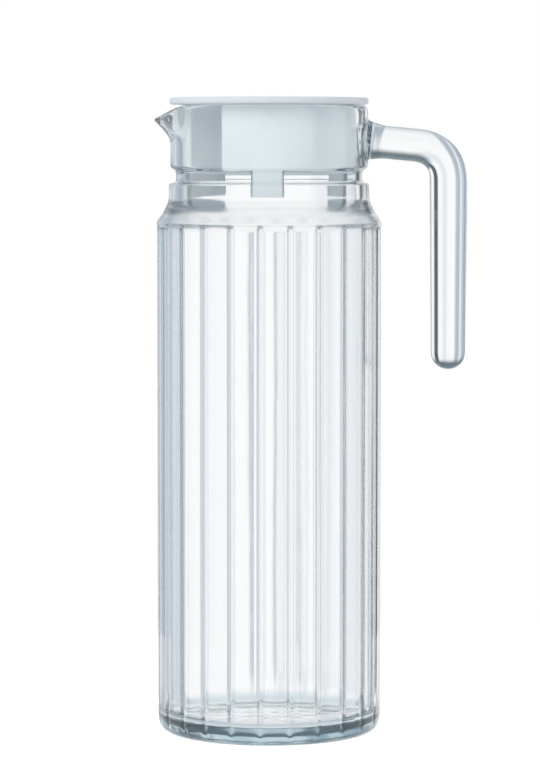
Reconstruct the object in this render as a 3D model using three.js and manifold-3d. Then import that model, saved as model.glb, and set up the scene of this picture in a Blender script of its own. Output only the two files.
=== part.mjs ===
// Fridge jug: a reeded glass body with a welded glass handle, closed by a plug lid
// whose skirt turns to open or shut the way to the spout.
// Millimetres, +Z up, origin at the centre of the base. The spout points to -X, the handle to +X.
import * as THREE from "three";
import { mergeVertices } from "three/addons/utils/BufferGeometryUtils.js";
import Module from "manifold-3d";

// Glass body: the reeded wall and the base
const BODY_RADIUS = 45; // to the crests of the reeds
const BODY_HEIGHT = 203.6; // from the base to the top of the reeds
const BODY_WALL = 3.8; // from a crest to the inside
const BASE_THICKNESS = 6.5;
const FOOT_INSET = 6; // from the crests in to the flat foot
const FOOT_CORNER_HEIGHT = 8;
const FLOOR_CORNER = 6; // inside corner between the wall and the floor
const REED_COUNT = 24;
const REED_DEPTH = 1.0;
const REED_RUN_IN = 5; // height over which the reeds rise out of the foot corner

// Glass body: the shoulder, the ledge, the groove and the neck band, from the reeds upwards
const SHOULDER_LIP = 0.3; // how far the shoulder stands out over the reeds
const SHOULDER_LIP_HEIGHT = 0.8;
const SHOULDER_HEIGHT = 10.8;
const SHOULDER_HOLLOW = 0.28; // share of the flare's run where its curve is drawn towards
const LEDGE_HEIGHT = 4;
const LEDGE_STEP = 0.4; // how far the ledge stands out from the neck band
const GROOVE_HEIGHT = 4.8;
const GROOVE_DEPTH = 2.2; // below the neck band
const GROOVE_SLOPE = 1.6; // height of each sloping side of the groove
const NECK_RADIUS = 39.6;
const NECK_WALL = 4.6;
const BAND_HEIGHT = 24.7;
const RIM_ROUND = 1.8;
const BORE_RUN_OUT = 2; // how far the straight bore ends below the ledge's top
const INSIDE_DROP = 7.6; // how far the inside of the shoulder ends below the reeds' top
const INSIDE_LEAN = 0.19; // share of that curve's height where each half is drawn towards

// Spout, drawn out of the neck band
const SPOUT_REACH = 7.3;
const SPOUT_HEIGHT = 14; // from its foot to the rim
const SPOUT_DROP = 5.4; // how far its lip sags below the rim
const SPOUT_HALF_ANGLE = 26; // degrees each side of -X

// Handle, a hook welded to the neck band
const ROOT_BELOW_RIM = 14;
const ARM_SLOPE = 5.5; // degrees downwards from the neck
const ARM_DEPTH = 13.3;
const GRIP_DEPTH = 15.3;
const GRIP_END_DEPTH = 13.9;
const HANDLE_WIDTH = 15;
const FINGER_GAP = 19.6; // between the reeds and the grip
const BEND_INSIDE = 6; // how far the bend starts from the inner faces it joins
const GRIP_DROP = 92; // from the arm's root to the end of the grip
const ROOT_FLARE = 2.2; // how much wider and deeper the section is at the weld
const ROOT_FLARE_LENGTH = 7;
const HANDLE_ROUNDNESS = 2.5; // 2 is an oval section, more is squarer
const WELD_BITE = 4; // how deep the root is drawn into the neck before it is trimmed
const WELD_GAP = 0.3;

// Lid: a round cap on the rim, and the skirt that plugs the neck below it
const SEAT_GAP = 0.3; // between the rim and the cap
const CAP_THICKNESS = 2.8;
const CAP_OVERHANG = 0.2; // past the neck band
const CAP_EDGE_ROUND = 0.8;
const CAP_RIM_WIDTH = 5.5;
const CAP_DISH = 0.9; // depth of the dished top
const SKIRT_GAP = 0.3; // between the cap and the skirt
const SKIRT_CLEARANCE = 0.6; // between the skirt and the bore
const SKIRT_WALL = 1.8;
const SKIRT_HEIGHT = 24;
const POUR_GAP_ANGLE = 60; // degrees of skirt left open for pouring
const TAB_COUNT = 3;
const TAB_WIDTH = 12.6;
const SHUT_TAB_WIDTH = 28.6; // the last tab, beside the gap, shuts the spout
const TAB_LENGTH = 12.4; // below the skirt
const TAB_CORNER = 2;
const LID_TURN = 26; // degrees that the skirt is turned from its open place at the spout

// Facets
const FACETS_PER_REED = 4;
const SEGMENTS = REED_COUNT * FACETS_PER_REED;
const CURVE_STEPS = 4; // along each round stretch of the glass
const SPOUT_RINGS = 4;
const CAP_STEPS = 2; // along each round edge of the cap
const CAP_SEGMENTS = 72;
const HANDLE_SIDES = 16;
const ARM_STEPS = 5;
const BEND_STEPS = 9;
const END_STEPS = 5;
const SKIRT_STEPS = 40;

// Heights and radii that follow
const shoulderZ = BODY_HEIGHT + SHOULDER_LIP_HEIGHT;
const ledgeZ = shoulderZ + SHOULDER_HEIGHT;
const grooveZ = ledgeZ + LEDGE_HEIGHT + GROOVE_SLOPE;
const bandZ = grooveZ + GROOVE_HEIGHT + GROOVE_SLOPE;
const rimZ = bandZ + BAND_HEIGHT;
const spoutZ = rimZ - SPOUT_HEIGHT;
const boreRadius = NECK_RADIUS - NECK_WALL;
const rimRadius = NECK_RADIUS - NECK_WALL / 2;
const innerRadius = BODY_RADIUS - BODY_WALL;
const ledgeRadius = NECK_RADIUS + LEDGE_STEP;
const shoulderRadius = BODY_RADIUS + SHOULDER_LIP;
const capZ = rimZ + SEAT_GAP;
const capRadius = NECK_RADIUS + CAP_OVERHANG;
const skirtRadius = boreRadius - SKIRT_CLEARANCE;
const skirtTopZ = capZ - SKIRT_GAP;
const skirtBottomZ = skirtTopZ - SKIRT_HEIGHT;

const wasm = await Module();
wasm.setup();

// A closed geometry as a solid that can be cut and joined.
function toSolid(geometry) {
  const bare = new THREE.BufferGeometry();
  bare.setAttribute("position", geometry.getAttribute("position"));
  bare.setIndex(geometry.index);
  const merged = mergeVertices(bare);
  return new wasm.Manifold(
    new wasm.Mesh({
      numProp: 3,
      vertProperties: new Float32Array(merged.getAttribute("position").array),
      triVerts: new Uint32Array(merged.index.array),
    }),
  );
}

function toGeometry(solid) {
  const mesh = solid.getMesh();
  const geometry = new THREE.BufferGeometry();
  geometry.setAttribute("position", new THREE.BufferAttribute(mesh.vertProperties, 3));
  geometry.setIndex(new THREE.BufferAttribute(mesh.triVerts, 1));
  geometry.computeVertexNormals();
  return geometry;
}

// A profile of (radius, height) turned about +Z. Angle 0 is at -Y, and angles grow towards +X.
function turned(profile, segments) {
  return new THREE.LatheGeometry(profile, segments).rotateX(Math.PI / 2);
}

// Glass body
// The outside, from the centre of the foot up to the top of the rim.
function outerProfile() {
  const footRadius = BODY_RADIUS - FOOT_INSET;
  const grooveRadius = NECK_RADIUS - GROOVE_DEPTH;
  const lipZ = rimZ - RIM_ROUND;
  const path = new THREE.Path();
  path.moveTo(0, 0);
  path.lineTo(footRadius, 0);
  path.quadraticCurveTo(BODY_RADIUS, 0, BODY_RADIUS, FOOT_CORNER_HEIGHT);
  path.lineTo(BODY_RADIUS, FOOT_CORNER_HEIGHT + REED_RUN_IN);
  path.lineTo(BODY_RADIUS, BODY_HEIGHT);
  path.lineTo(shoulderRadius, shoulderZ);
  path.quadraticCurveTo(
    THREE.MathUtils.lerp(ledgeRadius, shoulderRadius, SHOULDER_HOLLOW),
    THREE.MathUtils.lerp(shoulderZ, ledgeZ, SHOULDER_HOLLOW),
    ledgeRadius,
    ledgeZ,
  );
  path.lineTo(ledgeRadius, ledgeZ + LEDGE_HEIGHT);
  path.lineTo(grooveRadius, grooveZ);
  path.lineTo(grooveRadius, grooveZ + GROOVE_HEIGHT);
  path.lineTo(NECK_RADIUS, bandZ);
  for (let ring = 0; ring <= SPOUT_RINGS; ring++) {
    path.lineTo(NECK_RADIUS, THREE.MathUtils.lerp(spoutZ, lipZ, ring / SPOUT_RINGS));
  }
  path.quadraticCurveTo(NECK_RADIUS, rimZ, rimRadius, rimZ);
  return path.getPoints(CURVE_STEPS);
}

// The inside, from the top of the rim down to the centre of the floor.
function innerProfile() {
  const lipZ = rimZ - RIM_ROUND;
  const boreEndZ = ledgeZ + LEDGE_HEIGHT - BORE_RUN_OUT;
  const insideZ = BODY_HEIGHT - INSIDE_DROP;
  const middleZ = (boreEndZ + insideZ) / 2;
  const lean = (boreEndZ - insideZ) * INSIDE_LEAN;
  const path = new THREE.Path();
  path.moveTo(rimRadius, rimZ);
  path.quadraticCurveTo(boreRadius, rimZ, boreRadius, lipZ);
  for (let ring = 1; ring <= SPOUT_RINGS; ring++) {
    path.lineTo(boreRadius, THREE.MathUtils.lerp(lipZ, spoutZ, ring / SPOUT_RINGS));
  }
  path.lineTo(boreRadius, boreEndZ);
  // the shoulder swings out to the wall in two halves that meet smoothly
  path.quadraticCurveTo(boreRadius, middleZ + lean, (boreRadius + innerRadius) / 2, middleZ);
  path.quadraticCurveTo(innerRadius, middleZ - lean, innerRadius, insideZ);
  path.lineTo(innerRadius, BASE_THICKNESS + FLOOR_CORNER);
  path.quadraticCurveTo(innerRadius, BASE_THICKNESS, innerRadius - FLOOR_CORNER, BASE_THICKNESS);
  path.lineTo(0, BASE_THICKNESS);
  return path.getPoints(CURVE_STEPS);
}

// How far the outer wall is let in at an angle and height: nothing on a crest, most in a groove.
function reedInset(angle, z) {
  const turn = (angle / (2 * Math.PI)) * REED_COUNT;
  const fromCrest = 2 * Math.abs(turn - Math.round(turn));
  const rise = THREE.MathUtils.smoothstep(z, 0, FOOT_CORNER_HEIGHT + REED_RUN_IN);
  return REED_DEPTH * fromCrest * fromCrest * rise;
}

// How much of the spout's full pull there is at an angle: 1 on its middle line, 0 past its sides.
function spoutShare(angle) {
  const fromMiddle = Math.abs(THREE.MathUtils.euclideanModulo(angle, 2 * Math.PI) - 1.5 * Math.PI);
  const half = THREE.MathUtils.degToRad(SPOUT_HALF_ANGLE);
  return fromMiddle < half ? Math.cos((Math.PI / 2) * (fromMiddle / half)) ** 2 : 0;
}

function glassBody() {
  const outer = outerProfile();
  const profile = [...outer, ...innerProfile().slice(1)];
  const geometry = turned(profile, SEGMENTS);
  const place = geometry.getAttribute("position");
  for (let i = 0; i < place.count; i++) {
    const { x: radius, y: z } = profile[i % profile.length];
    const x = place.getX(i);
    const y = place.getY(i);
    const angle = Math.atan2(x, -y);
    const outside = i % profile.length < outer.length;
    const inset = outside && z <= BODY_HEIGHT ? reedInset(angle, z) : 0;
    const pull = z > spoutZ ? (spoutShare(angle) * (z - spoutZ)) / SPOUT_HEIGHT : 0;
    const scale = radius > 0 ? (radius - inset + SPOUT_REACH * pull) / radius : 0;
    place.setXYZ(i, x * scale, y * scale, z - SPOUT_DROP * pull);
  }
  return toSolid(geometry);
}

// Handle
// The centreline runs in the XZ plane: out of the neck, round the bend and down the grip.
function handleLine() {
  const rootZ = rimZ - ROOT_BELOW_RIM;
  const gripX = BODY_RADIUS + FINGER_GAP + GRIP_DEPTH / 2;
  const slope = Math.tan(THREE.MathUtils.degToRad(ARM_SLOPE));
  const onArm = (x) => new THREE.Vector2(x, rootZ - slope * (x - NECK_RADIUS));
  const bendReach = GRIP_DEPTH / 2 + BEND_INSIDE;
  const armEnd = onArm(gripX - bendReach);
  const corner = onArm(gripX);
  const gripTop = new THREE.Vector2(gripX, corner.y - bendReach);
  return {
    arm: new THREE.LineCurve(onArm(NECK_RADIUS - WELD_BITE), armEnd),
    bend: new THREE.QuadraticBezierCurve(armEnd, corner, gripTop),
    gripEnd: new THREE.Vector2(gripX, rootZ - GRIP_DROP),
  };
}

// One ring of the handle's section, across the centreline at a point.
function handleRing(point, along, depth, width) {
  const across = new THREE.Vector2(-along.y, along.x);
  const ring = [];
  for (let side = 0; side < HANDLE_SIDES; side++) {
    const angle = (2 * Math.PI * side) / HANDLE_SIDES;
    const squared = (value) => Math.sign(value) * Math.abs(value) ** (2 / HANDLE_ROUNDNESS);
    const out = (depth / 2) * squared(Math.cos(angle));
    ring.push(
      new THREE.Vector3(
        point.x + across.x * out,
        (width / 2) * squared(Math.sin(angle)),
        point.y + across.y * out,
      ),
    );
  }
  return ring;
}

// Rings of equal count joined into one closed skin, with a fan on each end.
function skinned(rings) {
  const sides = rings[0].length;
  const points = rings.flat();
  const index = [];
  for (let ring = 0; ring + 1 < rings.length; ring++) {
    for (let side = 0; side < sides; side++) {
      const a = ring * sides + side;
      const b = ring * sides + ((side + 1) % sides);
      index.push(a, a + sides, b, b, a + sides, b + sides);
    }
  }
  for (let side = 1; side + 1 < sides; side++) {
    const last = (rings.length - 1) * sides;
    index.push(0, side, side + 1, last, last + side + 1, last + side);
  }
  const geometry = new THREE.BufferGeometry().setFromPoints(points);
  geometry.setIndex(index);
  return geometry;
}

function handle() {
  const { arm, bend, gripEnd } = handleLine();
  const rings = [];
  const addRing = (curve, share, depth) => {
    const point = curve.getPoint(share);
    const bare = THREE.MathUtils.smoothstep(point.x - NECK_RADIUS, 0, ROOT_FLARE_LENGTH);
    const flare = ROOT_FLARE * (1 - bare);
    rings.push(handleRing(point, curve.getTangent(share), depth + flare, HANDLE_WIDTH + flare));
  };
  addRing(arm, 0, ARM_DEPTH);
  const weldShare = WELD_BITE / arm.getLength();
  for (let step = 0; step < ARM_STEPS; step++) {
    addRing(arm, THREE.MathUtils.lerp(weldShare, 1, step / ARM_STEPS), ARM_DEPTH);
  }
  for (let step = 0; step <= BEND_STEPS; step++) {
    const share = step / BEND_STEPS;
    addRing(bend, share, THREE.MathUtils.lerp(ARM_DEPTH, GRIP_DEPTH, share));
  }
  // the grip narrows from the bend to its rounded end
  const down = new THREE.Vector2(0, -1);
  for (let step = 0; step < END_STEPS; step++) {
    const angle = (Math.PI / 2) * (step / END_STEPS);
    const shrink = Math.cos(angle);
    const above = (GRIP_END_DEPTH / 2) * (1 - Math.sin(angle));
    const point = new THREE.Vector2(gripEnd.x, gripEnd.y + above);
    rings.push(handleRing(point, down, GRIP_END_DEPTH * shrink, HANDLE_WIDTH * shrink));
  }
  // the root is trimmed to the neck it is welded to
  const trimRadius = NECK_RADIUS + WELD_GAP;
  const trimProfile = [
    new THREE.Vector2(0, 0),
    new THREE.Vector2(trimRadius, 0),
    new THREE.Vector2(trimRadius, rimZ),
    new THREE.Vector2(0, rimZ),
  ];
  return toSolid(skinned(rings)).subtract(toSolid(turned(trimProfile, SEGMENTS)));
}

// Lid
function lidCap() {
  const top = capZ + CAP_THICKNESS;
  const path = new THREE.Path();
  path.moveTo(0, capZ);
  path.lineTo(capRadius - CAP_EDGE_ROUND, capZ);
  path.absarc(capRadius - CAP_EDGE_ROUND, capZ + CAP_EDGE_ROUND, CAP_EDGE_ROUND, -Math.PI / 2, 0, false);
  path.absarc(capRadius - CAP_EDGE_ROUND, top - CAP_EDGE_ROUND, CAP_EDGE_ROUND, 0, Math.PI / 2, false);
  path.lineTo(capRadius - CAP_RIM_WIDTH, top);
  path.lineTo(capRadius - CAP_RIM_WIDTH - CAP_DISH, top - CAP_DISH);
  path.lineTo(0, top - CAP_DISH);
  return toSolid(turned(path.getPoints(CAP_STEPS), CAP_SEGMENTS));
}

// A part of a ring, upright on the XY plane, between two angles in radians.
function ringPart(inner, outer, start, end, height) {
  const shape = new THREE.Shape();
  shape.absarc(0, 0, outer, start, end, false);
  shape.absarc(0, 0, inner, end, start, true);
  return new THREE.ExtrudeGeometry(shape, {
    depth: height,
    bevelEnabled: false,
    curveSegments: SKIRT_STEPS,
  });
}

// A tab's outline with its two lower corners round, pushed through the skirt along +X.
function tabBlade(width) {
  const half = width / 2;
  const shape = new THREE.Shape();
  shape.moveTo(-half, SKIRT_HEIGHT / 2);
  shape.lineTo(-half, TAB_CORNER - TAB_LENGTH);
  shape.absarc(-half + TAB_CORNER, TAB_CORNER - TAB_LENGTH, TAB_CORNER, Math.PI, 1.5 * Math.PI, false);
  shape.absarc(half - TAB_CORNER, TAB_CORNER - TAB_LENGTH, TAB_CORNER, -Math.PI / 2, 0, false);
  shape.lineTo(half, SKIRT_HEIGHT / 2);
  const blade = new THREE.ExtrudeGeometry(shape, {
    depth: 2 * skirtRadius,
    bevelEnabled: false,
    curveSegments: CURVE_STEPS,
  });
  // the outline's up becomes +Z and its depth +X
  return blade.rotateX(Math.PI / 2).rotateZ(Math.PI / 2);
}

// The skirt in its own frame: its lower edge is at height 0, its gap opens to -X between two tabs.
function lidSkirt() {
  const inner = skirtRadius - SKIRT_WALL;
  const halfWall = Math.PI - THREE.MathUtils.degToRad(POUR_GAP_ANGLE) / 2;
  const wall = toSolid(ringPart(inner, skirtRadius, -halfWall, halfWall, SKIRT_HEIGHT));
  const hoop = toSolid(
    ringPart(inner, skirtRadius, -halfWall, halfWall, SKIRT_HEIGHT / 2 + TAB_LENGTH)
      .translate(0, 0, -TAB_LENGTH),
  );
  let skirt = wall;
  for (let tab = 0; tab < TAB_COUNT; tab++) {
    const angle = Math.PI + (2 * Math.PI * (tab + 0.5)) / TAB_COUNT;
    const width = tab + 1 < TAB_COUNT ? TAB_WIDTH : SHUT_TAB_WIDTH;
    const blade = toSolid(tabBlade(width).rotateZ(angle));
    skirt = skirt.add(hoop.intersect(blade));
  }
  return skirt;
}

// Materials
const glass = new THREE.MeshStandardMaterial({
  name: "clear_glass",
  color: 0xe4eef0,
  roughness: 0.03,
  metalness: 0,
  transparent: true,
  opacity: 0.35,
});
const frostedPlastic = new THREE.MeshStandardMaterial({
  name: "frosted_plastic",
  color: 0xdae1e8,
  roughness: 0.45,
  metalness: 0,
});

function piece(name, solid, material) {
  const mesh = new THREE.Mesh(toGeometry(solid), material);
  mesh.name = name;
  return mesh;
}

// Assembly
const jug = new THREE.Group();
jug.add(piece("glass_body", glassBody(), glass));
jug.add(piece("handle", handle(), glass));

const lid = new THREE.Group();
lid.add(piece("lid_cap", lidCap(), frostedPlastic));
const skirt = piece("lid_skirt", lidSkirt(), frostedPlastic);
skirt.position.z = skirtBottomZ;
skirt.rotation.z = THREE.MathUtils.degToRad(LID_TURN);
lid.add(skirt);
jug.add(lid);

export default jug;
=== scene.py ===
# Fridge jug: reeded pressed glass with a welded glass handle and a frosted plug lid, on a pale floor.
import math

import bmesh
import bpy
import numpy as np
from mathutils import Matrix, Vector


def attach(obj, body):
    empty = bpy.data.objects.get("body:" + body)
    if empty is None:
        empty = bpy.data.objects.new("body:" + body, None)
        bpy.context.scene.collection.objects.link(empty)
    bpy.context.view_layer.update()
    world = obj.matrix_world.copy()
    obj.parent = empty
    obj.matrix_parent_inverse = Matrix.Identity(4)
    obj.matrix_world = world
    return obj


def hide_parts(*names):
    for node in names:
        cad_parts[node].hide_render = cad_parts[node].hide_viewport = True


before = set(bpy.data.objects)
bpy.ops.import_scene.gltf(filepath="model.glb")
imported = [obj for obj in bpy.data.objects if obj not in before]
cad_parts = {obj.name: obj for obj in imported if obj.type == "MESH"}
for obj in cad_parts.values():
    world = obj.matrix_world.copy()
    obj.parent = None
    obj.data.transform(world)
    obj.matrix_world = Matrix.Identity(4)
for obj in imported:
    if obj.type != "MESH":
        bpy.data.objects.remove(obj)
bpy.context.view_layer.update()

MM = 0.001

# Sizes in millimetres, as in the frame
SAME_POINT = 0.01  # points of an outline that are nearer than this are one
BODY_RADIUS = 45.0
INNER_RADIUS = 41.2
NECK_RADIUS = 39.6
BORE_RADIUS = 35.0
FOOT_CORNER_IN = 6
FOOT_CORNER_UP = 8
RECESS_RADIUS = 37
RECESS_FLAT = 20  # radius of the level part of the recess under the foot
RECESS_DEPTH = 1.2
FLOOR_Z = 7.0
FLOOR_SAG = 0.5  # how far the floor inside falls towards the wall
FLOOR_CORNER = 6
FLOOR_EDGE = 34.5
PEBBLE_DEPTH = 0.1  # the pressed floor inside is uneven
PEBBLE_RADIUS = 38
PEBBLE_FADE = 6
INNER_WAVE = 0.035  # the pressed inside is never quite even
INNER_WAVE_BOTTOM = 8
INNER_WAVE_TOP = 198
BORE_WAVE = 0.025
BORE_WAVE_BOTTOM = 206

REED_COUNT = 24
REED_TOP = 203.6
REED_START = 8.0
RUN_IN = 14.0  # height over which the reeds grow to their full depth
LOW_REED = 0.55  # how much of that depth they keep round the foot
FOOT_FADE = 9  # height over which they fade out towards the table
FOOT_STEP = 0.2  # how far the foot stands back from the reeds' crests
CROWN_DEPTH = 0.13  # how far a reed falls from its crest to its sides
VALLEY_DEPTH = 0.66  # the soft groove between two reeds
VALLEY_WIDTH = 1.0
# Where the steps of half a reed lie, from the crest to the groove
REED_STEPS = (0, 0.24, 0.44, 0.58, 0.68, 0.75, 0.81, 0.86, 0.91, 0.955, 1.0)
STEPS_PER_REED = 2 * (len(REED_STEPS) - 1)

RIM_Z = 251.9
NECK_TOP = 250
NECK_BOTTOM = 226
SPOUT_Z = 237.9
SPOUT_HEIGHT = 14.0
SPOUT_REACH = 7.25
SPOUT_DROP = 5.4
SPOUT_EASE = 1.2
SPOUT_HALF_ANGLE = math.radians(26)
LIP_THINNING = 2.2  # the lip is drawn thinner than the neck

# Corners of the glass: radius, height, and how far before and after the corner its curve starts and ends
SHOULDER = (
    (45.15, 205.6, 0.9, 1.0),
    (42.45, 209.2, 1.5, 1.5),
    (40.3, 213.9, 1.5, 1.1),
    (40.15, 220.7, 0.6, 0.6),
)
GROOVE = (
    (37.4, 221.5, 0.7, 0.7),
    (37.4, 225.6, 0.9, 0.9),
    (NECK_RADIUS, 227.2, 0.9, 0.9),
)
RIM = (
    (NECK_RADIUS, RIM_Z, 2.7, 2.25),
    (BORE_RADIUS, RIM_Z, 2.25, 2.2),
)
INNER_SHOULDER = (
    (BORE_RADIUS, 212.9, 2.2, 2.8),
    (INNER_RADIUS, 204.6, 3.2, 3.2),
)
# Heights of the rings on straight walls, which bend when the glass is shaped
WALL_RINGS = (10.5, 13, 15.5, 18, 20.5, *np.linspace(25, 195, 14), 203.1)
BAND_RINGS = np.linspace(236, 249.2, 12)
INSIDE_RINGS = np.linspace(190, 20, 16)
RECESS_RINGS = 14
FLOOR_RINGS = 24

ROOT_X = 37.7
ROOT_Z = 237.9
ROOT_FLARE = 2.2
ROOT_FLARE_LENGTH = 7.0
ARM_SLOPE = math.tan(math.radians(5.5))
ARM_DEPTH = 13.3
ARM_STATIONS = (ROOT_X, 38.6, 39.2, 39.7, 40.2, 40.7, 41.3, 42, 43, 44, 45.2, 46.6, 48.5, 51, 54, 56.5)
BEND_REACH = 13.65
BEND_STEPS = 28
GRIP_X = 72.25
GRIP_DEPTH = 15.3
GRIP_STEPS = 9
GRIP_END_DEPTH = 13.9
GRIP_END_Z = 145.9
END_STEPS = 14
END_FACE = 0.4  # share of a step that the small face at the grip's end takes
HANDLE_WIDTH = 15.0
HANDLE_ROUNDNESS = 2.1
HANDLE_SIDES = 56
WELD_BEAD = 2.4
WELD_BEAD_X = 38.6
WELD_BEAD_LENGTH = 2.6
WELD_RIPPLE = 0.3
WELD_Z = 237.5
WELD_HALF_WIDTH = 9
WELD_HALF_HEIGHT = 8

CAP_Z = 252.2
CAP_TOP = 255.0
CAP_RADIUS = 39.8
CAP_SEAT = 33  # a ring on the cap's level underside, over the skirt
CAP_SIDES = 192
DISH_EDGE = 34.3
DISH_RADIUS = 33.4
DISH_Z = 254.1
DIMPLE_EDGE = 2.4
DIMPLE_RADIUS = 2.1
DIMPLE_Z = 253.8

SKIRT_TOP = 251.9
SKIRT_BOTTOM = 227.9
SKIRT_RADIUS = 34.4
SKIRT_WALL = 1.8
SOFT_EDGE = 0.3
POUR_GAP = 60  # degrees
GAP_RIB_ANGLE = 8  # degrees
GAP_RIB_DEPTH = 1.2
LID_TURN = 26  # degrees
TAB_HALF_ANGLES = (10.5, 10.5, 24.5)  # degrees: two clip tabs, and the wide one that shuts the spout
TAB_LENGTHS = (12.4, 13.6, 13.6)
TAB_ROOT = 0.5
TAB_CORNER = 2.0
# painted shade on the tabs: the share of the dark shade colour on their inside and outside faces
TAB_INSIDE_SHADE = 0.42
TAB_OUTSIDE_SHADE = 0.12
SIDE_SHADE_ANGLE = 2.0  # degrees in from a tab's side over which its painted shade fades


# Modelling by hand
def only(piece):
    """Selects one piece and makes it the active one."""
    bpy.ops.object.select_all(action="DESELECT")
    piece.select_set(True)
    bpy.context.view_layer.objects.active = piece


def rounded(corners):
    """An outline of (radius, height) points. Each corner says how far off its curve starts and ends."""
    points = []
    for i, (r, z, before, after) in enumerate(corners):
        corner = np.array((r, z), float)
        if before == 0 and after == 0:
            points.append(corner)
            continue
        back = np.array(corners[i - 1][:2]) - corner
        ahead = np.array(corners[i + 1][:2]) - corner
        start = corner + back / np.linalg.norm(back) * before
        end = corner + ahead / np.linalg.norm(ahead) * after
        # longer curves take more steps
        longest = max(before, after)
        steps = 4 if longest < 1.6 else 7 if longest < 4 else 12
        for step in range(steps + 1):
            t = step / steps
            points.append((1 - t) ** 2 * start + 2 * t * (1 - t) * corner + t * t * end)
    kept = [points[0]]
    for point in points[1:]:
        if np.linalg.norm(point - kept[-1]) > SAME_POINT:
            kept.append(point)
    return kept


def drawn(name, outline):
    """An outline in the XZ plane: one corner, extruded from point to point."""
    bpy.ops.object.select_all(action="DESELECT")
    bpy.ops.mesh.primitive_plane_add(size=MM)
    piece = bpy.context.object
    piece.name = name
    bpy.ops.object.mode_set(mode="EDIT")
    bpy.ops.mesh.merge(type="CENTER")
    bpy.ops.transform.translate(value=(outline[0][0] * MM, 0, outline[0][1] * MM))
    for a, b in zip(outline, outline[1:]):
        move = ((b[0] - a[0]) * MM, 0, (b[1] - a[1]) * MM)
        bpy.ops.mesh.extrude_region_move(TRANSFORM_OT_translate={"value": move})
    return piece


def spun(steps):
    """Spins the outline in hand about the upright axis and closes the seam."""
    bpy.ops.mesh.select_all(action="SELECT")
    bpy.ops.mesh.spin(steps=steps, angle=2 * math.pi, center=(0, 0, 0), axis=(0, 0, 1))
    bpy.ops.mesh.select_all(action="SELECT")
    bpy.ops.mesh.remove_doubles(threshold=2e-6)
    bpy.ops.mesh.normals_make_consistent(inside=False)


def corners_of(piece):
    at = np.empty(len(piece.data.vertices) * 3)
    piece.data.vertices.foreach_get("co", at)
    return at.reshape(-1, 3)


def move_corners(piece, at):
    piece.data.vertices.foreach_set("co", at.ravel())
    piece.data.update()


def smoothstep(value):
    t = np.clip(value, 0, 1)
    return t * t * (3 - 2 * t)


def smooth(piece, degrees):
    only(piece)
    bpy.ops.object.shade_smooth_by_angle(angle=math.radians(degrees))


# Glass
def straight(radius, heights):
    """Points on a straight wall."""
    return [(radius, z, 0, 0) for z in heights]


def glass_outline():
    """The glass from the middle of its foot, up the outside, over the rim and down the inside."""
    slope = RECESS_RADIUS - RECESS_FLAT
    recess = [
        (r, RECESS_DEPTH * (1 - smoothstep((r - RECESS_FLAT) / slope)), 0, 0)
        for r in np.linspace(0, RECESS_RADIUS, RECESS_RINGS)
    ]
    inner_floor = [
        (r, FLOOR_Z - FLOOR_SAG * (r / INNER_RADIUS) ** 2, 0, 0)
        for r in np.linspace(FLOOR_EDGE, 0, FLOOR_RINGS)
    ]
    return rounded(
        [
            *recess,
            (BODY_RADIUS, 0, FOOT_CORNER_IN, FOOT_CORNER_UP),
            *straight(BODY_RADIUS, WALL_RINGS),
            (BODY_RADIUS, REED_TOP, 0, 0),
            *SHOULDER,
            *GROOVE,
            *straight(NECK_RADIUS, BAND_RINGS),
            *RIM,
            *straight(BORE_RADIUS, BAND_RINGS[::-1]),
            *INNER_SHOULDER,
            *straight(INNER_RADIUS, INSIDE_RINGS),
            (INNER_RADIUS, FLOOR_Z - FLOOR_SAG, FLOOR_CORNER, FLOOR_CORNER),
            *inner_floor,
        ]
    )


def reed_share(step):
    """Where a step lies in its reed, from 0 to 1. The steps are drawn together at the two grooves."""
    half = np.array(REED_STEPS) / 2
    pitch = np.concatenate((half, 1 - half[-2::-1]))
    return pitch[step % STEPS_PER_REED]


def reed_inset(radius, z, share):
    """How far the outside lies within the reeds' crests."""
    from_crest = 2 * np.minimum(share, 1 - share)
    half_width = math.pi * BODY_RADIUS / REED_COUNT
    valley = np.exp(-(((1 - from_crest) * half_width / VALLEY_WIDTH) ** 2))
    inset = CROWN_DEPTH * from_crest**2 + VALLEY_DEPTH * valley
    rise = smoothstep((z - REED_START) / RUN_IN)
    inset = inset * (LOW_REED + (1 - LOW_REED) * rise) + FOOT_STEP * (1 - rise)
    middle_of_wall = (INNER_RADIUS + BODY_RADIUS) / 2
    outside = ((radius > middle_of_wall) | (z < FLOOR_Z - FLOOR_SAG)) & (z <= REED_TOP + 0.01)
    return np.where(outside, inset * smoothstep(z / FOOT_FADE), 0)


def inside_waves(radius, z, angle):
    """Broad waves down the wall inside, and finer ones in the bore."""
    broad = np.sin(5 * angle + z / 27 + 1.1) * np.sin(z / 41 - 2 * angle)
    broad = broad + 0.6 * np.sin(11 * angle - z / 33)
    broad = broad * smoothstep((z - INNER_WAVE_BOTTOM) / 12) * smoothstep((INNER_WAVE_TOP - z) / 20)
    fine = np.sin(3 * angle + z / 9) * np.sin(z / 7 - 4 * angle + 0.8)
    fine = fine + 0.7 * np.sin(9 * angle + z / 15)
    fine = fine * smoothstep((z - BORE_WAVE_BOTTOM) / 8) * smoothstep((NECK_TOP - z) / 8)
    wall = INNER_WAVE * np.where(radius < INNER_RADIUS + 1, broad, 0)
    bore = BORE_WAVE * np.where(radius < BORE_RADIUS + 1, fine, 0)
    return wall + bore


def weld_ripples(radius, y, z, angle):
    """The neck is uneven where the hot handle was pressed on, and half as much in the bore."""
    across = np.sin(angle) * NECK_RADIUS / WELD_HALF_WIDTH
    along = (z - WELD_Z) / WELD_HALF_HEIGHT
    near = np.exp(-(across**2) - along**2) * (np.cos(angle) > 0)
    ripple = 0.6 + np.sin(1.1 * y + 0.5 * z) + 0.8 * np.sin(0.9 * z - 0.7 * y + 2)
    neck = (z > NECK_BOTTOM) & (z < NECK_TOP)
    depth = np.where(radius < BORE_RADIUS + 1, WELD_RIPPLE / 2, WELD_RIPPLE)
    return np.where(neck, depth * near * ripple, 0)


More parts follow.
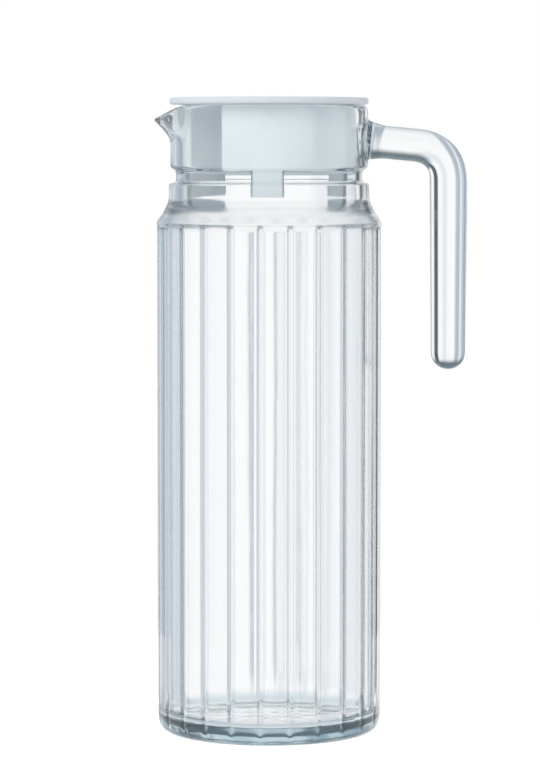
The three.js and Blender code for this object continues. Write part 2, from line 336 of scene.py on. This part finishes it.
def uneven_floor(radius, x, y, z):
    ridges = np.sin(0.52 * x + 0.8 * np.sin(0.41 * y))
    furrows = np.sin(0.47 * y + 0.7 * np.sin(0.37 * x))
    fade = smoothstep((PEBBLE_RADIUS - radius) / PEBBLE_FADE)
    floor_inside = (radius < PEBBLE_RADIUS) & (np.abs(z - FLOOR_Z) < 1)
    return np.where(floor_inside, PEBBLE_DEPTH * ridges * furrows * fade, 0)


def spout_pull(z, angle):
    """How strongly the glass is drawn out and down into the spout, towards -X."""
    aside = np.abs(angle % (2 * math.pi) - math.pi)
    pull = np.where(aside < SPOUT_HALF_ANGLE, np.cos(np.pi / 2 * aside / SPOUT_HALF_ANGLE) ** 2, 0)
    return pull * np.clip((z - SPOUT_Z) / SPOUT_HEIGHT, 0, None) ** SPOUT_EASE


def reeded_body():
    piece = drawn("jug_glass", glass_outline())
    turn_steps = REED_COUNT * STEPS_PER_REED
    spun(turn_steps)
    bpy.ops.object.mode_set(mode="OBJECT")
    x, y, z = (corners_of(piece) / MM).T
    radius = np.hypot(x, y)
    step = np.rint(np.arctan2(y, x) / (2 * math.pi) * turn_steps).astype(int) % turn_steps
    share = reed_share(step)
    angle = (step // STEPS_PER_REED + share) * 2 * math.pi / REED_COUNT
    radius = radius - reed_inset(radius, z, share)
    radius = radius - inside_waves(radius, z, angle)
    radius = radius + weld_ripples(radius, y, z, angle)
    z = z + uneven_floor(radius, x, y, z)
    pull = spout_pull(z, angle)
    thinner = LIP_THINNING * smoothstep((NECK_RADIUS - radius) / (NECK_RADIUS - BORE_RADIUS))
    radius = np.where(radius > 1, radius + (SPOUT_REACH + thinner) * pull, radius)
    z = z - SPOUT_DROP * pull
    move_corners(piece, np.column_stack((radius * np.cos(angle), radius * np.sin(angle), z)) * MM)
    return piece


def handle_stations():
    """Points along the handle, from the weld to the grip's end: place, way, depth and width."""
    stations = []
    arm_end = GRIP_X - BEND_REACH

    def arm_z(x):
        return ROOT_Z - ARM_SLOPE * (x - NECK_RADIUS)

    def add(x, z, dx, dz, depth, width):
        long = math.hypot(dx, dz)
        stations.append((x, z, dx / long, dz / long, depth, width))

    for x in ARM_STATIONS:
        flare = ROOT_FLARE * (1 - smoothstep((x - NECK_RADIUS) / ROOT_FLARE_LENGTH))
        bead = WELD_BEAD * max(0, 1 - max(0, x - WELD_BEAD_X) / WELD_BEAD_LENGTH) ** 2
        add(x, arm_z(x), 1, -ARM_SLOPE, ARM_DEPTH + flare + bead, HANDLE_WIDTH + flare + bead)
    start = np.array((arm_end, arm_z(arm_end)))
    corner = np.array((GRIP_X, arm_z(GRIP_X)))
    end = np.array((GRIP_X, corner[1] - BEND_REACH))
    for step in range(BEND_STEPS + 1):
        t = step / BEND_STEPS
        place = (1 - t) ** 2 * start + 2 * t * (1 - t) * corner + t * t * end
        way = (1 - t) * (corner - start) + t * (end - corner)
        add(*place, *way, ARM_DEPTH + (GRIP_DEPTH - ARM_DEPTH) * t, HANDLE_WIDTH)
    round_z = GRIP_END_Z + GRIP_END_DEPTH / 2
    for step in range(1, GRIP_STEPS):
        t = step / GRIP_STEPS
        depth = GRIP_DEPTH + (GRIP_END_DEPTH - GRIP_DEPTH) * t
        add(GRIP_X, end[1] + (round_z - end[1]) * t, 0, -1, depth, HANDLE_WIDTH)
    for step in range(END_STEPS):
        a = math.pi / 2 * step / (END_STEPS + END_FACE)
        z = round_z - GRIP_END_DEPTH / 2 * math.sin(a)
        add(GRIP_X, z, 0, -1, GRIP_END_DEPTH * math.cos(a), HANDLE_WIDTH * math.cos(a))
    return stations


def hooked_handle():
    """A rod drawn up straight, one step for each station, then laid along the handle's line."""
    stations = np.array(handle_stations())
    bpy.ops.object.select_all(action="DESELECT")
    bpy.ops.mesh.primitive_circle_add(vertices=HANDLE_SIDES, radius=1, fill_type="NGON")
    piece = bpy.context.object
    bpy.ops.object.mode_set(mode="EDIT")
    bpy.ops.mesh.select_all(action="SELECT")
    for _ in stations[1:]:
        bpy.ops.mesh.extrude_region_move(TRANSFORM_OT_translate={"value": (0, 0, 1)})
    bpy.ops.object.mode_set(mode="OBJECT")
    at = corners_of(piece)
    x, z, dx, dz, depth, width = stations[np.rint(at[:, 2]).astype(int)].T
    power = 2 / HANDLE_ROUNDNESS
    out = np.sign(at[:, 0]) * np.abs(at[:, 0]) ** power * depth / 2
    side = np.sign(at[:, 1]) * np.abs(at[:, 1]) ** power * width / 2
    move_corners(piece, np.column_stack((x - dz * out, side, z + dx * out)) * MM)
    only(piece)
    bpy.ops.object.mode_set(mode="EDIT")
    bpy.ops.mesh.select_all(action="SELECT")
    bpy.ops.mesh.normals_make_consistent(inside=False)
    bpy.ops.object.mode_set(mode="OBJECT")
    return piece


def glass_jug():
    piece = reeded_body()
    handle = hooked_handle()
    only(piece)
    bpy.ops.object.modifier_add(type="BOOLEAN")
    weld = piece.modifiers[-1]
    weld.operation = "UNION"
    weld.solver = "MANIFOLD"
    weld.object = handle
    bpy.ops.object.modifier_apply(modifier=weld.name)
    only(handle)
    bpy.ops.object.delete()
    smooth(piece, 50)
    return piece


# Lid
def cap():
    outline = rounded(
        [
            (0, CAP_Z, 0, 0),
            (CAP_SEAT, CAP_Z, 0, 0),
            (CAP_RADIUS, CAP_Z, 1.2, 1.0),
            (CAP_RADIUS, CAP_TOP, 1.1, 1.4),
            (DISH_EDGE, CAP_TOP, 0.5, 0.5),
            (DISH_RADIUS, DISH_Z, 0.5, 0.5),
            (DIMPLE_EDGE, DISH_Z, 0.3, 0.3),
            (DIMPLE_RADIUS, DIMPLE_Z, 0.3, 0.3),
            (0, DIMPLE_Z, 0, 0),
        ]
    )
    piece = drawn("cap", outline)
    spun(CAP_SIDES)
    bpy.ops.object.mode_set(mode="OBJECT")
    smooth(piece, 40)
    return piece


def pick(piece, kind, test):
    """Selects the faces or edges in hand whose middle and direction pass the test."""
    bpy.ops.mesh.select_mode(type=kind)
    bpy.ops.mesh.select_all(action="DESELECT")
    mesh = bmesh.from_edit_mesh(piece.data)
    if kind == "FACE":
        for face in mesh.faces:
            face.select_set(bool(test(face.calc_center_median() / MM, face.normal)))
    else:
        for edge in mesh.edges:
            a, b = (corner.co for corner in edge.verts)
            edge.select_set(bool(test((a + b) / 2 / MM, (b - a).normalized())))
    bmesh.update_edit_mesh(piece.data)


def bearing(at):
    return math.degrees(math.atan2(at.y, at.x)) % 360


def outwards(at, way):
    """How far a direction points away from the axis, from -1 to 1."""
    return (way.x * at.x + way.y * at.y) / math.hypot(at.x, at.y)


def tab_middle(place):
    """Bearing of a tab's middle, in degrees from the start of the wall."""
    return 360 / len(TAB_HALF_ANGLES) * (place + 0.5) - POUR_GAP / 2


def skirt_wall(wall):
    """The plug's wall, spun over the degrees that the pour gap leaves."""
    inner = SKIRT_RADIUS - SKIRT_WALL
    outline = [
        (SKIRT_RADIUS, SKIRT_TOP),
        (SKIRT_RADIUS, SKIRT_BOTTOM),
        (inner, SKIRT_BOTTOM),
        (inner, SKIRT_TOP),
        (SKIRT_RADIUS, SKIRT_TOP),
    ]
    piece = drawn("skirt", outline)
    bpy.ops.mesh.select_all(action="SELECT")
    bpy.ops.mesh.remove_doubles(threshold=1e-6)
    bpy.ops.mesh.select_all(action="SELECT")
    bpy.ops.mesh.edge_face_add()
    bpy.ops.mesh.spin(steps=2 * wall, angle=math.radians(wall), center=(0, 0, 0), axis=(0, 0, -1))
    bpy.ops.mesh.select_all(action="SELECT")
    bpy.ops.mesh.remove_doubles(threshold=1e-6)
    bpy.ops.mesh.normals_make_consistent(inside=False)
    return piece


def paint_tab_shade(piece, turn):
    """Paints shade on the tabs: full along their sides, and a share of it over their insides and, less,
    their outsides.
    """
    x, y, z = (corners_of(piece) / MM).T
    around = np.degrees(np.arctan2(y, x) - turn) % 360
    inside = np.hypot(x, y) < SKIRT_RADIUS - SKIRT_WALL / 2
    shade_share = np.where(inside, TAB_INSIDE_SHADE, TAB_OUTSIDE_SHADE)
    # edge holds the painted shade: full at each tab's side, the inside or outside share over its faces
    edge = np.zeros(len(x))
    for place, half in enumerate(TAB_HALF_ANGLES):
        inwards = (half - np.abs(around - tab_middle(place))) / SIDE_SHADE_ANGLE
        edge = np.maximum(edge, np.where(inwards > -1, np.maximum(shade_share, 1 - smoothstep(inwards)), 0))
    edge = np.where(z < SKIRT_BOTTOM - TAB_ROOT / 2, edge, 0)
    piece.data.attributes.new("tab_painted_shade", "FLOAT", "POINT").data.foreach_set("value", edge)


def skirt():
    """The plug's wall with two clip tabs, a wide tab, and a rib on each side of the pour gap."""
    wall = 360 - POUR_GAP
    piece = skirt_wall(wall)
    for place, (half, long) in enumerate(zip(TAB_HALF_ANGLES, TAB_LENGTHS)):
        middle = tab_middle(place)
        pick(
            piece,
            "FACE",
            lambda at, way: way.z < -0.9 and abs(bearing(at) - middle) < half,
        )
        for length in (TAB_ROOT, long - TAB_ROOT):
            bpy.ops.mesh.extrude_region_move(TRANSFORM_OT_translate={"value": (0, 0, -length * MM)})
        pick(
            piece,
            "EDGE",
            lambda at, way: at.z < SKIRT_BOTTOM - long + 0.1
            and abs(outwards(at, way)) > 0.6
            and abs(abs(bearing(at) - middle) - half) < 0.1,
        )
        bpy.ops.mesh.bevel(offset=TAB_CORNER * MM, segments=6, affect="EDGES")
    pick(
        piece,
        "FACE",
        lambda at, way: outwards(at, way) < -0.6
        and at.z > SKIRT_BOTTOM
        and not GAP_RIB_ANGLE < bearing(at) < wall - GAP_RIB_ANGLE,
    )
    bpy.ops.mesh.extrude_region_shrink_fatten(
        TRANSFORM_OT_shrink_fatten={"value": GAP_RIB_DEPTH * MM}
    )
    bpy.ops.object.mode_set(mode="OBJECT")
    bpy.ops.object.modifier_add(type="BEVEL")
    soften = piece.modifiers[-1]
    soften.width = SOFT_EDGE * MM
    soften.segments = 3
    soften.limit_method = "ANGLE"
    soften.angle_limit = math.radians(35)
    bpy.ops.object.modifier_apply(modifier=soften.name)
    # the wall is turned to its place: the gap starts past the spout and opens towards the front
    x, y, z = corners_of(piece).T
    turn = math.radians(180 + LID_TURN + POUR_GAP / 2)
    turned_x = x * math.cos(turn) - y * math.sin(turn)
    turned_y = x * math.sin(turn) + y * math.cos(turn)
    move_corners(piece, np.column_stack((turned_x, turned_y, z)))
    smooth(piece, 30)
    paint_tab_shade(piece, turn)
    return piece


# Materials, with lengths in metres
GLASS_TONES = ((1.0, 1.0, 1.0), (0.992, 0.997, 0.999))
GLASS_ROUGHNESS = (0.055, 0.085)
GLASS_WAVE = 0.00006
GLASS_TINT = (0.70, 0.785, 0.815)
TINT_DENSITY = 12
SHADOW_TINT = (0.965, 0.98, 0.985)
FOOT_PAINTED_SHADE = (0.70, 0.82, 0.87)  # painted shade on the outside of the thick foot, for the shaded table seen through it
FLOOR_PAINTED_SHADE = (0.95, 0.962, 0.978)  # lighter painted shade on the floor inside and the recess under the foot
# the painted shade starts at this height and is full at the next; beyond this radius it takes the foot's
# colour
FOOT_SHADE_TOP = 0.0095
FOOT_SHADE_FULL = 0.0065
FOOT_SHADE_RADIUS = 0.0415
# The shoulder is duller than the reeds below it and the neck above it: from, to, change of roughness
DULL_SHOULDER = ((0.2025, 0.2045, 0.1), (0.2095, 0.2125, -0.12))
CAP_TONES = ((0.73, 0.77, 0.82), (0.80, 0.84, 0.88))
SKIRT_TONES = ((0.84, 0.90, 0.935), (0.91, 0.955, 0.985))
# the dark colour of the painted shade on the tabs
TAB_SHADE_COLOUR = (0.16, 0.24, 0.28)
FROST_CLEARNESS = 0.22
FROST_ROUGHNESS = (0.4, 0.6)
FROST_GRAIN = 0.00008


def material(name):
    made = bpy.data.materials.new(name)
    made.use_nodes = True
    made.node_tree.nodes.clear()
    return made, made.node_tree.nodes, made.node_tree.links


def node(nodes, kind, **values):
    made = nodes.new(kind)
    for key, value in values.items():
        setattr(made, key, value)
    return made


def uneven_finish():
    """Broad patches and fine grain, from 0 to 1, for every finish here."""
    group = bpy.data.node_groups.new("uneven_finish", "ShaderNodeTree")
    sockets = group.interface
    sockets.new_socket("Place", in_out="INPUT", socket_type="NodeSocketVector")
    sockets.new_socket("Patch Scale", in_out="INPUT", socket_type="NodeSocketFloat")
    sockets.new_socket("Grain Scale", in_out="INPUT", socket_type="NodeSocketFloat")
    sockets.new_socket("Patches", in_out="OUTPUT", socket_type="NodeSocketFloat")
    sockets.new_socket("Grain", in_out="OUTPUT", socket_type="NodeSocketFloat")
    nodes, links = group.nodes, group.links
    given = node(nodes, "NodeGroupInput")
    made = node(nodes, "NodeGroupOutput")
    for scale, detail, name in (("Patch Scale", 2, "Patches"), ("Grain Scale", 4, "Grain")):
        noise = node(nodes, "ShaderNodeTexNoise")
        noise.inputs["Detail"].default_value = detail
        links.new(given.outputs["Place"], noise.inputs["Vector"])
        links.new(given.outputs[scale], noise.inputs["Scale"])
        links.new(noise.outputs["Fac"], made.inputs[name])
    return group


FINISH = uneven_finish()


def finish_on(nodes, links, stretch, patch_scale, grain_scale):
    """Places the shared finish in a material, on the piece's own coordinates."""
    place = node(nodes, "ShaderNodeTexCoord")
    turn = node(nodes, "ShaderNodeMapping")
    turn.inputs["Scale"].default_value = stretch
    finish = node(nodes, "ShaderNodeGroup", node_tree=FINISH)
    finish.inputs["Patch Scale"].default_value = patch_scale
    finish.inputs["Grain Scale"].default_value = grain_scale
    links.new(place.outputs["Object"], turn.inputs["Vector"])
    links.new(turn.outputs["Vector"], finish.inputs["Place"])
    return finish


def ranged(nodes, links, source, low, high):
    """Carries a value from 0.3 to 0.7, where the noise lies, to a range of its own."""
    made = node(nodes, "ShaderNodeMapRange")
    made.inputs["From Min"].default_value = 0.3
    made.inputs["From Max"].default_value = 0.7
    made.inputs["To Min"].default_value = low
    made.inputs["To Max"].default_value = high
    links.new(source, made.inputs["Value"])
    return made.outputs["Result"]


def blended(nodes, links, source, first, second):
    """A colour between two, by a value."""
    made = node(nodes, "ShaderNodeMix", data_type="RGBA")
    made.inputs[6].default_value = (*first, 1)
    made.inputs[7].default_value = (*second, 1)
    links.new(source, made.inputs["Factor"])
    return made.outputs[2]


def bumped(nodes, links, source, distance):
    made = node(nodes, "ShaderNodeBump")
    made.inputs["Distance"].default_value = distance
    links.new(source, made.inputs["Height"])
    return made.outputs["Normal"]


def pressed_glass():
    made, nodes, links = material("pressed_glass")
    out = node(nodes, "ShaderNodeOutputMaterial")
    glass = node(nodes, "ShaderNodeBsdfPrincipled")
    glass.inputs["IOR"].default_value = 1.52
    glass.inputs["Transmission Weight"].default_value = 1
    finish = finish_on(nodes, links, (1, 1, 0.3), 70, 420)
    tone = blended(nodes, links, finish.outputs["Patches"], *GLASS_TONES)
    place = node(nodes, "ShaderNodeTexCoord")
    split = node(nodes, "ShaderNodeSeparateXYZ")
    links.new(place.outputs["Object"], split.inputs[0])
    level = node(nodes, "ShaderNodeVectorMath", operation="MULTIPLY")
    level.inputs[1].default_value = (1, 1, 0)
    links.new(place.outputs["Object"], level.inputs[0])
    across = node(nodes, "ShaderNodeVectorMath", operation="LENGTH")
    links.new(level.outputs[0], across.inputs[0])
    # painted shade low on the glass: a darker colour on the foot's outside, a lighter one on the floor
    # inside and the recess
    low = node(nodes, "ShaderNodeMapRange", interpolation_type="SMOOTHSTEP")
    low.inputs["From Min"].default_value = FOOT_SHADE_TOP
    low.inputs["From Max"].default_value = FOOT_SHADE_FULL
    links.new(split.outputs["Z"], low.inputs["Value"])
    outer = node(nodes, "ShaderNodeMath", operation="GREATER_THAN")
    outer.inputs[1].default_value = FOOT_SHADE_RADIUS
    links.new(across.outputs["Value"], outer.inputs[0])
    whole = node(nodes, "ShaderNodeMix", data_type="RGBA")
    links.new(low.outputs["Result"], whole.inputs["Factor"])
    links.new(tone, whole.inputs[6])
    links.new(blended(nodes, links, outer.outputs[0], FLOOR_PAINTED_SHADE, FOOT_PAINTED_SHADE), whole.inputs[7])
    links.new(whole.outputs[2], glass.inputs["Base Color"])
    rough = ranged(nodes, links, finish.outputs["Grain"], *GLASS_ROUGHNESS)
    for start, end, change in DULL_SHOULDER:
        part = node(nodes, "ShaderNodeMapRange")
        part.inputs["From Min"].default_value = start
        part.inputs["From Max"].default_value = end
        part.inputs["To Max"].default_value = change
        links.new(split.outputs["Z"], part.inputs["Value"])
        total = node(nodes, "ShaderNodeMath", operation="ADD")
        links.new(rough, total.inputs[0])
        links.new(part.outputs["Result"], total.inputs[1])
        rough = total.outputs[0]
    links.new(rough, glass.inputs["Roughness"])
    links.new(bumped(nodes, links, finish.outputs["Patches"], GLASS_WAVE), glass.inputs["Normal"])
    # lamps and matt surfaces see plain clear glass, so that the shadow stays light
    clear = node(nodes, "ShaderNodeBsdfTransparent")
    clear.inputs["Color"].default_value = (*SHADOW_TINT, 1)
    path = node(nodes, "ShaderNodeLightPath")
    for_lamps = node(nodes, "ShaderNodeMixShader")
    for_bounce = node(nodes, "ShaderNodeMixShader")
    links.new(path.outputs["Is Shadow Ray"], for_lamps.inputs[0])
    links.new(glass.outputs[0], for_lamps.inputs[1])
    links.new(clear.outputs[0], for_lamps.inputs[2])
    links.new(path.outputs["Is Diffuse Ray"], for_bounce.inputs[0])
    links.new(for_lamps.outputs[0], for_bounce.inputs[1])
    links.new(clear.outputs[0], for_bounce.inputs[2])
    links.new(for_bounce.outputs[0], out.inputs["Surface"])
    tint = node(nodes, "ShaderNodeVolumeAbsorption")
    tint.inputs["Color"].default_value = (*GLASS_TINT, 1)
    tint.inputs["Density"].default_value = TINT_DENSITY
    links.new(tint.outputs[0], out.inputs["Volume"])
    return made


def frosted(name, cloudy, clear):
    made, nodes, links = material(name)
    out = node(nodes, "ShaderNodeOutputMaterial")
    skin = node(nodes, "ShaderNodeBsdfPrincipled")
    skin.inputs["IOR"].default_value = 1.49
    skin.inputs["Transmission Weight"].default_value = FROST_CLEARNESS
    finish = finish_on(nodes, links, (1, 1, 1), 55, 1500)
    tone = blended(nodes, links, finish.outputs["Patches"], cloudy, clear)
    # painted shade on the skirt's tabs, read from their attribute; the cap has none, so the value is 0
    # there
    edge = node(nodes, "ShaderNodeAttribute", attribute_name="tab_painted_shade")
    shade_mix = node(nodes, "ShaderNodeMix", data_type="RGBA")
    shade_mix.inputs[7].default_value = (*TAB_SHADE_COLOUR, 1)
    links.new(edge.outputs["Fac"], shade_mix.inputs["Factor"])
    links.new(tone, shade_mix.inputs[6])
    links.new(shade_mix.outputs[2], skin.inputs["Base Color"])
    links.new(ranged(nodes, links, finish.outputs["Grain"], *FROST_ROUGHNESS), skin.inputs["Roughness"])
    links.new(bumped(nodes, links, finish.outputs["Grain"], FROST_GRAIN), skin.inputs["Normal"])
    links.new(skin.outputs[0], out.inputs["Surface"])
    return made


# Stage, in metres
STAGE_RADIUS = 0.3
STAGE_GREY = (0.8, 0.8, 0.8)
STAGE_GLOW = 0.22
LAMP_AIM = (0, 0, 0.12)
CAMERA_AZIMUTH = math.radians(-3.0)
CAMERA_REACH = 1.4
CAMERA_HEIGHT = 0.2374
CAMERA_AIM = (0.0004, 0, 0.1369)
CAMERA_LENS = 160.1
CAMERA_SENSOR = 36


def floor():
    """A pale disc with a faint glow of its own, which light that comes through the glass passes."""
    bpy.ops.object.select_all(action="DESELECT")
    bpy.ops.mesh.primitive_circle_add(vertices=96, radius=STAGE_RADIUS, fill_type="NGON")
    piece = bpy.context.object
    piece.name = "floor"
    made, nodes, links = material("pale_floor")
    out = node(nodes, "ShaderNodeOutputMaterial")
    matt = node(nodes, "ShaderNodeBsdfDiffuse")
    matt.inputs["Color"].default_value = (*STAGE_GREY, 1)
    glow = node(nodes, "ShaderNodeEmission")
    path = node(nodes, "ShaderNodeLightPath")
    seen = node(nodes, "ShaderNodeMath", operation="MAXIMUM")
    level = node(nodes, "ShaderNodeMath", operation="MULTIPLY")
    level.inputs[1].default_value = STAGE_GLOW
    both = node(nodes, "ShaderNodeAddShader")
    links.new(path.outputs["Is Camera Ray"], seen.inputs[0])
    links.new(path.outputs["Is Glossy Ray"], seen.inputs[1])
    links.new(seen.outputs[0], level.inputs[0])
    links.new(level.outputs[0], glow.inputs["Strength"])
    links.new(matt.outputs[0], both.inputs[0])
    links.new(glow.outputs[0], both.inputs[1])
    open_floor = node(nodes, "ShaderNodeBsdfTransparent")
    for_glass = node(nodes, "ShaderNodeMixShader")
    links.new(path.outputs["Is Transmission Ray"], for_glass.inputs[0])
    links.new(both.outputs[0], for_glass.inputs[1])
    links.new(open_floor.outputs[0], for_glass.inputs[2])
    links.new(for_glass.outputs[0], out.inputs["Surface"])
    piece.data.materials.append(made)


# The studio all round: white panels with grey and blue-grey gaps between them,
# by bearing in degrees from +Y towards +X
WHITE = (1.0, 1.0, 1.0)
PEARL = (0.81, 0.84, 0.87)
CLOUD = (0.48, 0.55, 0.63)
HAZE = (0.58, 0.63, 0.69)
MIST = (0.45, 0.51, 0.58)
SLATE = (0.28, 0.35, 0.43)
DEEP = (0.03, 0.06, 0.085)
CEILING = (0.08, 0.13, 0.16)
CEILING_START = 12  # degrees above the horizon
CEILING_FULL = 30
ROOM_LIGHT = (0.9, 0.9, 0.9)  # what falls on the matt surfaces
GROUND = (0.60, 0.66, 0.70)  # the shaded table under the jug
GROUND_START = -25
GROUND_FULL = -65
PANORAMA = (
    (-122, WHITE), (-114, HAZE), (-106, HAZE), (-98, WHITE), (-57, WHITE),
    (-50, SLATE), (-40, SLATE), (-34.5, CLOUD), (-29, CLOUD), (-26, PEARL), (-21.5, PEARL),
    (-18.5, MIST), (-12, MIST), (-9.5, HAZE),
    (-6.5, WHITE), (7, WHITE), (11, PEARL), (16, PEARL), (21, WHITE), (28, WHITE),
    (32, DEEP), (42, DEEP), (46, WHITE), (61, WHITE), (65, SLATE), (72, SLATE), (78, WHITE), (98, WHITE),
    (110, HAZE), (122, SLATE), (134, WHITE),
)


def studio():
    world = bpy.data.worlds.new("studio")
    bpy.context.scene.world = world
    world.use_nodes = True
    nodes, links = world.node_tree.nodes, world.node_tree.links
    nodes.clear()
    out = node(nodes, "ShaderNodeOutputWorld")
    way = node(nodes, "ShaderNodeTexCoord")
    split = node(nodes, "ShaderNodeSeparateXYZ")
    around = node(nodes, "ShaderNodeMath", operation="ARCTAN2")
    turn = node(nodes, "ShaderNodeMapRange")
    turn.inputs["From Min"].default_value = -math.pi
    turn.inputs["From Max"].default_value = math.pi
    ramp = node(nodes, "ShaderNodeValToRGB")
    ramp.color_ramp.interpolation = "EASE"
    stops = ramp.color_ramp.elements
    while len(stops) < len(PANORAMA):
        stops.new(0.5)
    for stop, (degrees, light) in zip(stops, PANORAMA):
        stop.position = (degrees + 180) / 360
        stop.color = (*light, 1)
    links.new(way.outputs["Generated"], split.inputs[0])
    links.new(split.outputs["X"], around.inputs[0])
    links.new(split.outputs["Y"], around.inputs[1])
    links.new(around.outputs[0], turn.inputs["Value"])
    links.new(turn.outputs["Result"], ramp.inputs["Fac"])
    height = node(nodes, "ShaderNodeMapRange", interpolation_type="SMOOTHSTEP")
    height.inputs["From Min"].default_value = math.sin(math.radians(CEILING_START))
    height.inputs["From Max"].default_value = math.sin(math.radians(CEILING_FULL))
    links.new(split.outputs["Z"], height.inputs["Value"])
    room = node(nodes, "ShaderNodeMix", data_type="RGBA")
    room.inputs[7].default_value = (*CEILING, 1)
    links.new(height.outputs["Result"], room.inputs["Factor"])
    links.new(ramp.outputs["Color"], room.inputs[6])
    depth = node(nodes, "ShaderNodeMapRange", interpolation_type="SMOOTHSTEP")
    depth.inputs["From Min"].default_value = math.sin(math.radians(GROUND_FULL))
    depth.inputs["From Max"].default_value = math.sin(math.radians(GROUND_START))
    links.new(split.outputs["Z"], depth.inputs["Value"])
    whole = node(nodes, "ShaderNodeMix", data_type="RGBA")
    whole.inputs[6].default_value = (*GROUND, 1)
    links.new(depth.outputs["Result"], whole.inputs["Factor"])
    links.new(room.outputs[2], whole.inputs[7])
    # glass and gloss show the panels, matt surfaces take an even light, and the camera sees plain white
    path = node(nodes, "ShaderNodeLightPath")
    through = node(nodes, "ShaderNodeMath", operation="MAXIMUM")
    links.new(path.outputs["Is Glossy Ray"], through.inputs[0])
    links.new(path.outputs["Is Transmission Ray"], through.inputs[1])
    level = node(nodes, "ShaderNodeMix", data_type="RGBA")
    links.new(through.outputs[0], level.inputs["Factor"])
    links.new(whole.outputs[2], level.inputs[7])
    level.inputs[6].default_value = (*ROOM_LIGHT, 1)
    white = node(nodes, "ShaderNodeMix", data_type="RGBA")
    white.inputs[7].default_value = (*WHITE, 1)
    links.new(path.outputs["Is Camera Ray"], white.inputs["Factor"])
    links.new(level.outputs[2], white.inputs[6])
    sky = node(nodes, "ShaderNodeBackground")
    links.new(white.outputs[2], sky.inputs["Color"])
    links.new(sky.outputs[0], out.inputs["Surface"])


def softbox(name, place, size, watts):
    bpy.ops.object.select_all(action="DESELECT")
    bpy.ops.object.light_add(type="AREA", location=place)
    lamp = bpy.context.object
    lamp.name = name
    lamp.data.size = size
    lamp.data.energy = watts
    lamp.rotation_euler = (Vector(LAMP_AIM) - Vector(place)).to_track_quat("-Z", "Y").to_euler()
    lamp.visible_camera = False
    lamp.visible_glossy = False
    lamp.visible_transmission = False


def camera():
    data = bpy.data.cameras.new("camera")
    made = bpy.data.objects.new("camera", data)
    bpy.context.scene.collection.objects.link(made)
    x = CAMERA_REACH * math.sin(CAMERA_AZIMUTH)
    y = -CAMERA_REACH * math.cos(CAMERA_AZIMUTH)
    place = Vector((x, y, CAMERA_HEIGHT))
    made.location = place
    made.rotation_euler = (Vector(CAMERA_AIM) - place).to_track_quat("-Z", "Y").to_euler()
    data.lens = CAMERA_LENS
    data.sensor_width = CAMERA_SENSOR
    bpy.context.scene.camera = made


# Assembly
camera()
studio()
softbox("key", place=(-0.9, -1.0, 1.3), size=1.0, watts=12)
floor()

glass = glass_jug()
glass.data.materials.clear()
glass.data.materials.append(pressed_glass())
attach(glass, "jug")
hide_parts("glass_body", "handle")

lid_cap = cap()
lid_cap.data.materials.append(frosted("cap_plastic", *CAP_TONES))
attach(lid_cap, "cap")
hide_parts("lid_cap")

lid_skirt = skirt()
lid_skirt.data.materials.append(frosted("skirt_plastic", *SKIRT_TONES))
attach(lid_skirt, "skirt")
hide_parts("lid_skirt")

bpy.context.scene.view_settings.view_transform = "Standard"
# Light goes round many times inside the thick glass
paths = bpy.context.scene.cycles
paths.max_bounces = 32
paths.glossy_bounces = 20
paths.transmission_bounces = 32
